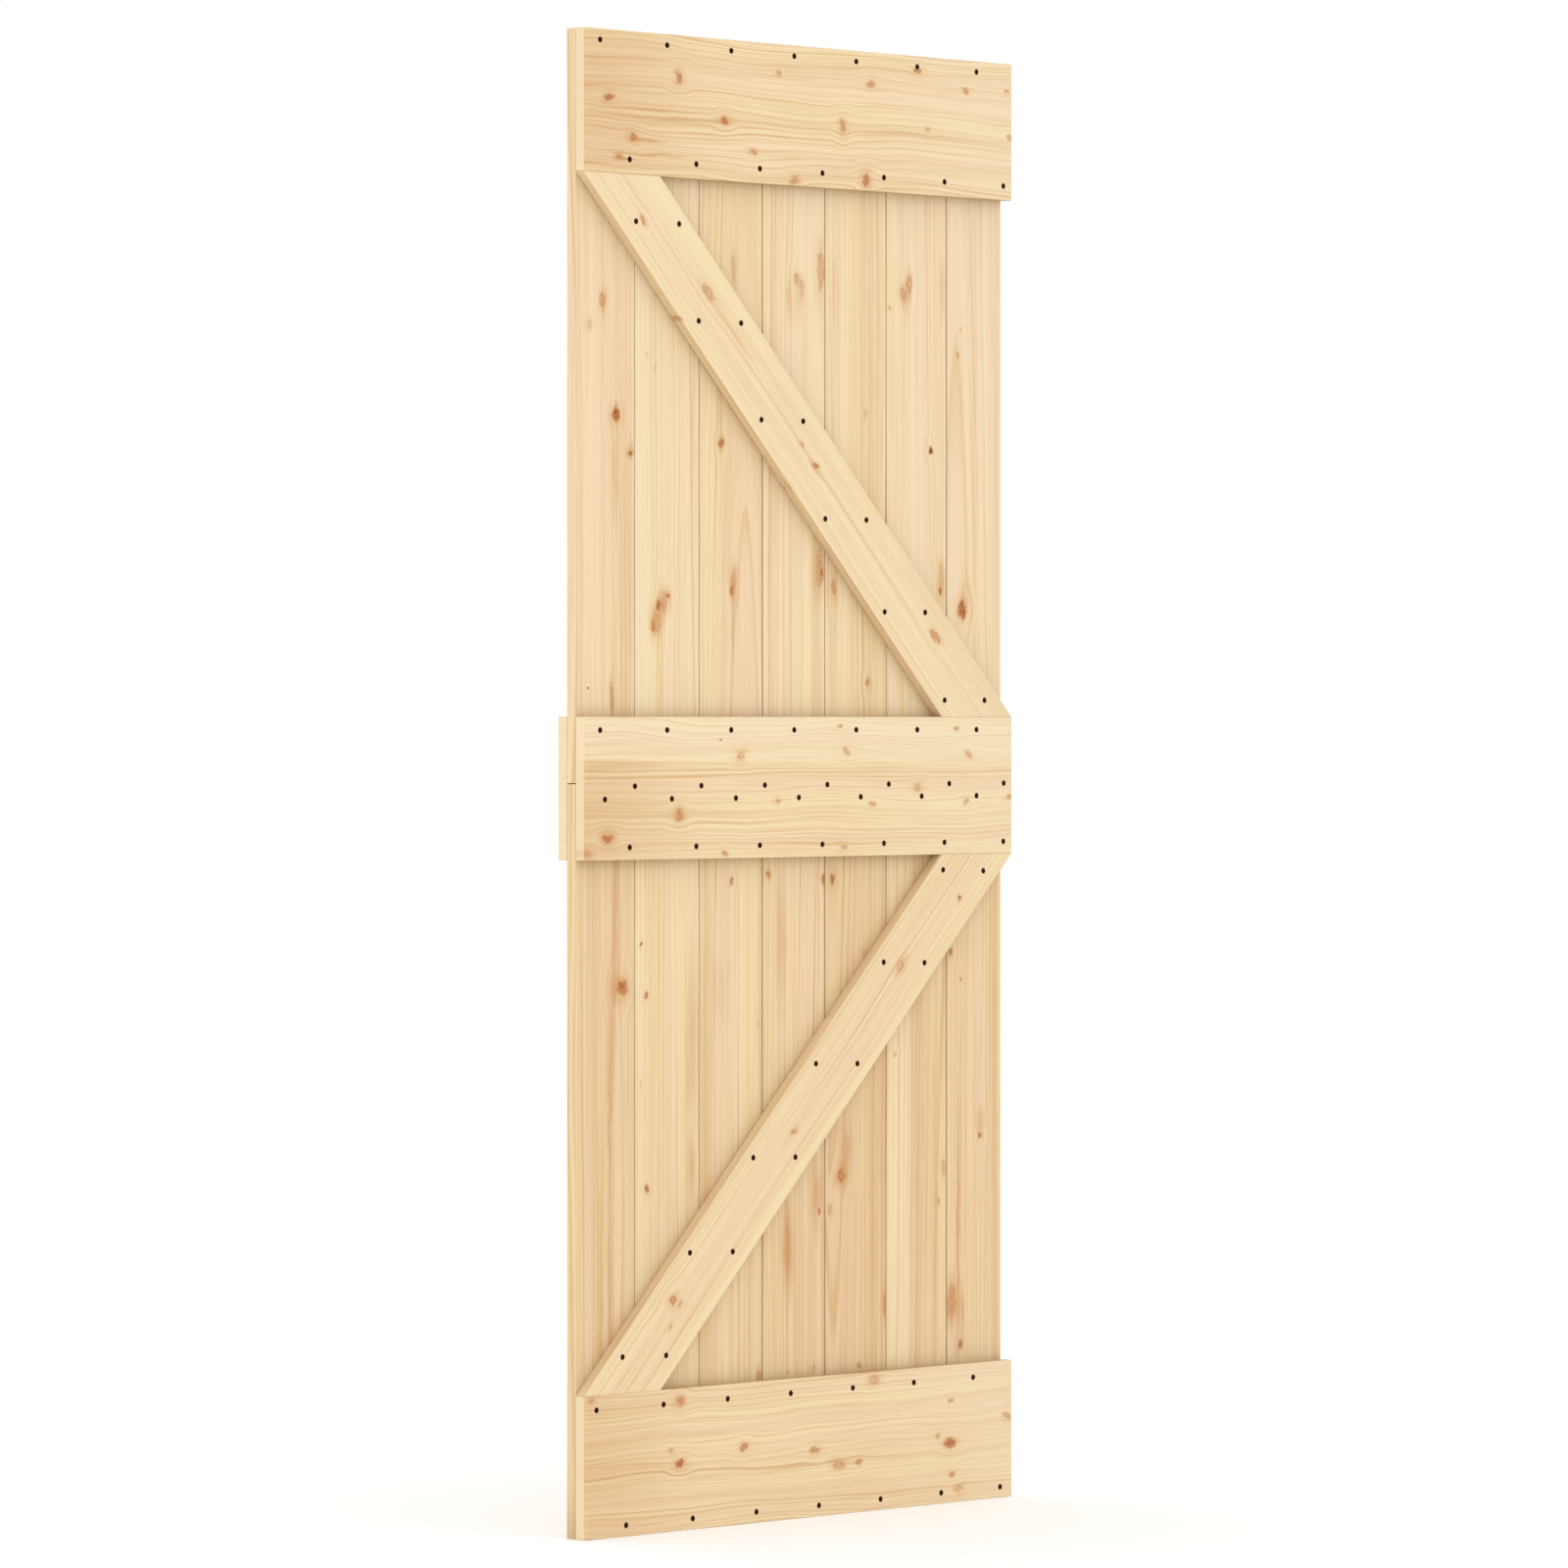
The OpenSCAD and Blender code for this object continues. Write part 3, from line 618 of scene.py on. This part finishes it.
def planed_pine(piece, along, across, tones, cut):
    """Planed, untreated pine.

    It gives the eye pale wood with honey growth lines, amber stains, red-brown knots and painted shade,
    hardly glossy.
    """
    props = bpy.context.scene.barn_door_pine
    draw = random.Random(piece)
    low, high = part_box(piece)
    centre = (low + high) / 2 / MM
    material = bpy.data.materials.new(f"Planed pine, {piece.replace('_', ' ')}")
    tree = empty_tree(material)
    place = add(tree, "ShaderNodeTexCoord").outputs["Object"]
    axes = {name: add(tree, "ShaderNodeVectorMath", {0: place, 1: axis / MM}, operation="DOT_PRODUCT")
            for name, axis in (("Along", along), ("Across", across), ("Depth", INWARD))}
    teeth = 1 / (RAGGED_SIZE * MM)
    ragged = add(tree, "ShaderNodeTexNoise", {"Vector": place, "Scale": teeth, "Detail": 3.0})
    ragged = add(tree, "ShaderNodeMath",
                 {0: ragged, 1: RAGGED_DEPTH, 2: -RAGGED_DEPTH / 2}, operation="MULTIPLY_ADD")
    # Fibres, drawn out along the grain
    fibre = add(tree, "ShaderNodeCombineXYZ", {"X": axes["Across"], "Y": axes["Along"], "Z": axes["Depth"]})
    scale = (1 / FIBRE_WIDTH, 1 / FIBRE_LENGTH, 1 / FIBRE_WIDTH)
    fibre = add(tree, "ShaderNodeVectorMath", {0: fibre, 1: scale}, operation="MULTIPLY")
    fibre = add(tree, "ShaderNodeTexNoise", {"Vector": fibre, "Scale": 1.0, "Detail": 1.0})
    tone = TONES.get(piece, 0.0)
    start = draw.uniform(*STARTS)
    # A rail of two glued strips has another piece of the trunk above the glue line
    if piece in GLUED:
        height, lean = GLUED[piece]
        above = add(tree, "ShaderNodeMath", {0: axes["Across"], 1: height}, operation="GREATER_THAN")
        tone = add(tree, "ShaderNodeMath", {0: above, 1: lean, 2: tone}, operation="MULTIPLY_ADD")
        start = add(tree, "ShaderNodeMath", {0: above, 1: GLUED_STEP, 2: start}, operation="MULTIPLY_ADD")
    grown = grown_spots(tree, piece, along, across, axes, ragged, tone)
    parted = add(tree, "ShaderNodeMath", {0: axes["Across"], 1: grown["Parting"]}, operation="ADD")
    straw, blush, honey = tones
    grain = add(tree, "ShaderNodeGroup", {
        "Along": axes["Along"], "Across": parted, "Depth": axes["Depth"], "Fibre": fibre, "Ragged": ragged,
        "Core": grown["Core"], "Tint": grown["Tint"], **cut_faces(tree, along, across, cut["sawn"]),
        "Pith Across": centre.dot(across) + draw.uniform(*cut["pith"]) * draw.choice((-1, 1)),
        "Pith Depth": centre.y + draw.uniform(*PITH_DEPTHS) * draw.choice((-1, 1)),
        "Lean": draw.uniform(*LEANS),
        "Ring Gap": props.ring_gap / MM * cut["rings"] * draw.uniform(*GAP_SHARES), "Draw": start,
        "Line": cut["line"], "Wander": cut["wander"], "Wander Length": cut["length"],
        "Straw": straw, "Blush": blush, "Honey": honey, "Cream": props.cream, "Amber": props.amber,
        "End Grain": props.end_grain, "Sawn": props.sawn,
        "Knot": props.knot_red, "Knot Core": props.knot_dark},
        node_tree=shared_group("Pine grain", grain_group))
    # Painted shade: an ambient occlusion node darkens the boards' colour in the corners beside the rails and
    # braces
    wood = grain
    if cut["corner"]:
        wood = add(tree, "ShaderNodeAmbientOcclusion",
                   {"Color": grain, "Distance": props.painted_shade_reach}, samples=PAINTED_SHADE_RAYS)
        wood = add(tree, "ShaderNodeMix", {0: cut["corner"], 1: grain, 2: wood}, data_type="RGBA")
    rough = add(tree, "ShaderNodeMapRange", {
        "Value": fibre, "From Min": NOISE_LOW, "From Max": NOISE_HIGH,
        "To Min": PINE_ROUGH[0], "To Max": PINE_ROUGH[1]})
    bump = add(tree, "ShaderNodeBump", {"Strength": RELIEF, "Distance": RELIEF_HEIGHT, "Height": fibre})
    shader = add(tree, "ShaderNodeBsdfPrincipled", {
        "Base Color": wood, "Roughness": rough, "IOR": 1.5, "Normal": bump})
    add(tree, "ShaderNodeOutputMaterial", {"Surface": shader})
    return material


def dress(piece, material):
    """Gives a CAD node its material."""
    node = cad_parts[piece]
    if not node.material_slots:
        raise RuntimeError(f"{piece} has no material slot")
    for slot in node.material_slots:
        slot.material = material


def brace_axes(piece):
    """Directions along and across a brace, from the level cuts at its two ends."""
    corners = [vertex.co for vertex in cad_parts[piece].data.vertices]
    low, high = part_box(piece)
    near = 0.05 * MM
    top = [co.x for co in corners if high.z - co.z < near]
    foot = [co.x for co in corners if co.z - low.z < near]
    along = Vector((max(top) - max(foot), 0, high.z - low.z)).normalized()
    return along, Vector((along.z, 0, -along.x))


def phosphated_steel():
    """Steel screws in black phosphate: a soft dark brown-black that is a little lighter in specks."""
    props = bpy.context.scene.barn_door_screws
    material = bpy.data.materials.new("Black phosphated steel")
    tree = empty_tree(material)
    place = add(tree, "ShaderNodeTexCoord").outputs["Object"]
    # Crystals of the coat are finer than this, and are drawn half a millimetre wide to show
    specks = add(tree, "ShaderNodeTexNoise", {"Vector": place, "Scale": 1 / SPECK, "Detail": 3.0})
    share = add(tree, "ShaderNodeMapRange",
                {"Value": specks, "From Min": SPECK_FROM, "From Max": SPECK_FULL})
    coat = add(tree, "ShaderNodeMix", {0: share, 1: props.phosphate, 2: props.worn}, data_type="RGBA")
    rough = add(tree, "ShaderNodeMapRange", {
        "Value": specks, "From Min": NOISE_LOW, "From Max": NOISE_HIGH,
        "To Min": STEEL_ROUGH[0], "To Max": STEEL_ROUGH[1]})
    shader = add(tree, "ShaderNodeBsdfPrincipled", {
        "Base Color": coat, "Roughness": rough, "IOR": 1.5, "Specular IOR Level": 0.1})
    add(tree, "ShaderNodeOutputMaterial", {"Surface": shader})
    return material


def screw_places(piece):
    """Box of each screw in a CAD group, from left to right and top to bottom."""
    shape = bmesh.new()
    shape.from_mesh(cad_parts[piece].data)
    bmesh.ops.remove_doubles(shape, verts=shape.verts, dist=0.001 * MM)
    left = set(shape.verts)
    boxes = []
    while left:
        island = [left.pop()]
        for vertex in island:
            joined = {edge.other_vert(vertex) for edge in vertex.link_edges} & left
            left -= joined
            island.extend(joined)
        low = Vector(min(v.co[i] for v in island) for i in range(3))
        high = Vector(max(v.co[i] for v in island) for i in range(3))
        boxes.append((low, high))
    shape.free()
    return sorted(boxes, key=lambda box: (round(-box[0].z, 4), round(box[0].x, 4)))


def extruded(shape, edges, move, scale):
    """Extrudes a loop of edges along the screw's axis, scales the new loop, and returns its edges."""
    new = bmesh.ops.extrude_edge_only(shape, edges=edges)["geom"]
    loop = {item for item in new if isinstance(item, bmesh.types.BMVert)}
    bmesh.ops.scale(shape, vec=(scale, 1, scale), verts=list(loop))
    bmesh.ops.translate(shape, vec=INWARD * move, verts=list(loop))
    return [item for item in new if isinstance(item, bmesh.types.BMEdge) and set(item.verts) <= loop]


def cross_head_screw(head, length, name):
    """Mesh of one countersunk screw with a cross recess: its head at the origin, its point along +Y."""
    props = bpy.context.scene.barn_door_screws
    rim, shank, point = props.head_rim, props.shank, props.point
    shape = bmesh.new()
    upright = Matrix.Rotation(math.radians(90), 4, "X")
    bmesh.ops.create_circle(shape, segments=props.segments, radius=head / 2, matrix=upright)
    rim_loop = list(shape.edges)
    # The recess: one quarter of its outline, turned four times
    arm, half = props.recess_span / 2, props.recess_width / 2
    quarter = [(half, arm), (half, half), (arm, half)]
    outline = []
    for _ in range(4):
        outline += [shape.verts.new((x, 0, z)) for x, z in quarter]
        quarter = [(z, -x) for x, z in quarter]
    cross = [shape.edges.new(pair) for pair in zip(outline, outline[1:] + outline[:1])]
    bmesh.ops.triangle_fill(shape, edges=rim_loop + cross, use_beauty=True)
    floor = extruded(shape, cross, props.recess_depth, RECESS_TAPER)
    bmesh.ops.triangle_fill(shape, edges=floor, use_beauty=True)
    # Rim, countersink, shank and point
    loop = extruded(shape, rim_loop, rim, 1)
    loop = extruded(shape, loop, (head - shank) / 2, shank / head)
    loop = extruded(shape, loop, length - rim - (head - shank) / 2 - point, 1)
    loop = extruded(shape, loop, point, POINT_TAPER)
    bmesh.ops.triangle_fill(shape, edges=loop, use_beauty=True)
    bmesh.ops.bevel(
        shape, geom=rim_loop, offset=props.head_edge, offset_type="OFFSET", affect="EDGES",
        segments=2, profile=0.5, material=-1, clamp_overlap=True)
    bmesh.ops.recalc_face_normals(shape, faces=shape.faces)
    mesh = bpy.data.meshes.new(name)
    shape.to_mesh(mesh)
    shape.free()
    return mesh


def drive_screws(piece, material):
    """Puts a cross-head screw in the place of each plain one of a CAD group."""
    places = screw_places(piece)
    low, high = places[0]
    one = cross_head_screw(high.x - low.x, high.y - low.y, f"{piece}_one")
    shape = bmesh.new()
    for count, (low, high) in enumerate(places):
        first = len(shape.verts)
        shape.from_mesh(one)
        shape.verts.ensure_lookup_table()
        new = shape.verts[first:]
        # Each screw stops at its own angle
        turn = Matrix.Rotation(math.radians(SCREW_TURN * count), 3, "Y")
        bmesh.ops.rotate(shape, verts=new, cent=(0, 0, 0), matrix=turn)
        bmesh.ops.translate(
            shape, verts=new, vec=((low.x + high.x) / 2, low.y, (low.z + high.z) / 2))
    mesh = bpy.data.meshes.new(f"{piece}_cross_head")
    shape.to_mesh(mesh)
    shape.free()
    bpy.data.meshes.remove(one)
    mesh.materials.append(material)
    driven = placed(f"{piece}_cross_head", mesh)
    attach(driven, "root")
    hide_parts(piece)


def seen_directly(tree):
    """1 for what the camera sees, also in a mirror or through glass, and 0 for other light."""
    rays = add(tree, "ShaderNodeLightPath").outputs
    seen = rays["Is Camera Ray"]
    for kind in ("Is Glossy Ray", "Is Transmission Ray"):
        seen = add(tree, "ShaderNodeMath", {0: seen, 1: rays[kind]}, operation="MAXIMUM")
    return seen


def matt_paper(props):
    """Matt paper: white with a soft shadow, and lifted as it is seen, so that it meets the white behind."""
    material = bpy.data.materials.new("Matt paper floor")
    tree = empty_tree(material)
    seen = seen_directly(tree)
    lift = add(tree, "ShaderNodeMath", {0: seen, 1: props.floor_lift}, operation="MULTIPLY")
    glow = add(tree, "ShaderNodeEmission", {"Color": (1, 1, 1, 1), "Strength": lift})
    matt = add(tree, "ShaderNodeBsdfDiffuse", {"Color": props.floor})
    both = add(tree, "ShaderNodeAddShader", {0: matt, 1: glow})
    add(tree, "ShaderNodeOutputMaterial", {"Surface": both})
    return material


def paper_floor(props):
    """The floor that the door stands on."""
    shape = bmesh.new()
    bmesh.ops.create_grid(shape, x_segments=1, y_segments=1, size=props.floor_size)
    mesh = bpy.data.meshes.new("studio_floor")
    shape.to_mesh(mesh)
    shape.free()
    floor = placed("studio_floor", mesh)
    mesh.materials.append(matt_paper(props))


def white_surroundings(props):
    """Even white light from all sides, which is plain white where it is seen."""
    world = bpy.data.worlds.new("White surroundings")
    bpy.context.scene.world = world
    tree = empty_tree(world)
    seen = seen_directly(tree)
    level = add(tree, "ShaderNodeMix", {0: seen, 1: props.fill, 2: 1.0}, data_type="FLOAT")
    white = add(tree, "ShaderNodeBackground", {"Color": (1, 1, 1, 1), "Strength": level})
    add(tree, "ShaderNodeOutputWorld", {"Surface": white})


def soft_lamp(props):
    """A weak, wide lamp that is aimed at the middle of the door."""
    low, high = CAD_BOX
    light = bpy.data.lights.new("soft_lamp", "AREA")
    light.size = props.lamp_size
    light.energy = props.lamp_power
    lamp = placed("soft_lamp", light)
    lamp.location = props.lamp_place
    aim = (low + high) / 2 - Vector(props.lamp_place)
    lamp.rotation_euler = aim.to_track_quat("-Z", "Y").to_euler()
    lamp.visible_camera = False


def level_camera(props):
    """A camera that looks level at the door, with its frame shifted down."""
    lens = bpy.data.cameras.new("camera")
    lens.lens = props.lens
    lens.shift_y = -props.drop
    lens.clip_end = 4 * props.floor_size
    camera = placed("camera", lens)
    camera.location = props.camera_place
    camera.rotation_euler = (math.radians(90), 0, -props.camera_turn)
    bpy.context.scene.camera = camera


class BARN_DOOR_OT_boards(bpy.types.Operator):
    """Gives each upright board its own pine, with the grain running up"""

    bl_idname = "barn_door.boards"
    bl_label = "Boards"

    def execute(self, context):
        props = context.scene.barn_door_pine
        tones = (props.straw, props.blush, props.honey)
        for piece in BOARDS:
            dress(piece, planed_pine(piece, UP, RIGHT, tones, CUTS["board"]))
        return {"FINISHED"}


class BARN_DOOR_OT_rails(bpy.types.Operator):
    """Gives each cross rail its own pine, with the grain running level"""

    bl_idname = "barn_door.rails"
    bl_label = "Rails"

    def execute(self, context):
        props = context.scene.barn_door_pine
        tones = (props.rail_straw, props.rail_blush, props.rail_honey)
        for piece in RAILS:
            dress(piece, planed_pine(piece, RIGHT, UP, tones, CUTS["rail"]))
        return {"FINISHED"}


class BARN_DOOR_OT_braces(bpy.types.Operator):
    """Gives each diagonal brace its own pine, with the grain running along it"""

    bl_idname = "barn_door.braces"
    bl_label = "Braces"

    def execute(self, context):
        props = context.scene.barn_door_pine
        tones = (props.rail_straw, props.rail_blush, props.rail_honey)
        for piece in BRACES:
            dress(piece, planed_pine(piece, *brace_axes(piece), tones, CUTS["brace"]))
        return {"FINISHED"}


class BARN_DOOR_OT_screws(bpy.types.Operator):
    """Drives cross-head screws in place of the plain ones"""

    bl_idname = "barn_door.screws"
    bl_label = "Screws"

    def execute(self, context):
        material = phosphated_steel()
        for piece in SCREWS:
            drive_screws(piece, material)
        return {"FINISHED"}


class BARN_DOOR_OT_studio(bpy.types.Operator):
    """Sets up the floor, the white surroundings, the soft lamp and the camera"""

    bl_idname = "barn_door.studio"
    bl_label = "Studio"

    def execute(self, context):
        context.scene.view_settings.view_transform = "Standard"
        props = context.scene.barn_door_studio
        paper_floor(props)
        white_surroundings(props)
        soft_lamp(props)
        level_camera(props)
        return {"FINISHED"}


class BARN_DOOR_PT_panel(bpy.types.Panel):
    """Sizes, colours and steps of the barn door's finish"""

    bl_label = "Barn door"
    bl_idname = "BARN_DOOR_PT_panel"
    bl_space_type = "VIEW_3D"
    bl_region_type = "UI"
    bl_category = "Barn door"

    def draw(self, context):
        for name in PROPERTIES:
            box = self.layout.box()
            group = getattr(context.scene, name)
            for prop in PROPERTIES[name].__annotations__:
                box.prop(group, prop)
        for operator in OPERATORS:
            self.layout.operator(operator.bl_idname)


PROPERTIES = {
    "barn_door_pine": PineProperties,
    "barn_door_screws": ScrewProperties,
    "barn_door_studio": StudioProperties,
}
OPERATORS = (
    BARN_DOOR_OT_boards,
    BARN_DOOR_OT_rails,
    BARN_DOOR_OT_braces,
    BARN_DOOR_OT_screws,
    BARN_DOOR_OT_studio,
)
CLASSES = (*PROPERTIES.values(), *OPERATORS, BARN_DOOR_PT_panel)


def register():
    """Adds the classes, and their settings to the scene."""
    for cls in CLASSES:
        bpy.utils.register_class(cls)
    for name, group in PROPERTIES.items():
        setattr(bpy.types.Scene, name, PointerProperty(type=group))


def unregister():
    """Takes the settings and classes away again."""
    for name in PROPERTIES:
        delattr(bpy.types.Scene, name)
    for cls in reversed(CLASSES):
        bpy.utils.unregister_class(cls)


def main():
    """Dresses the door step by step."""
    register()
    bpy.ops.barn_door.boards()
    bpy.ops.barn_door.rails()
    bpy.ops.barn_door.braces()
    bpy.ops.barn_door.screws()
    bpy.ops.barn_door.studio()


if __name__ == "__main__":
    main()
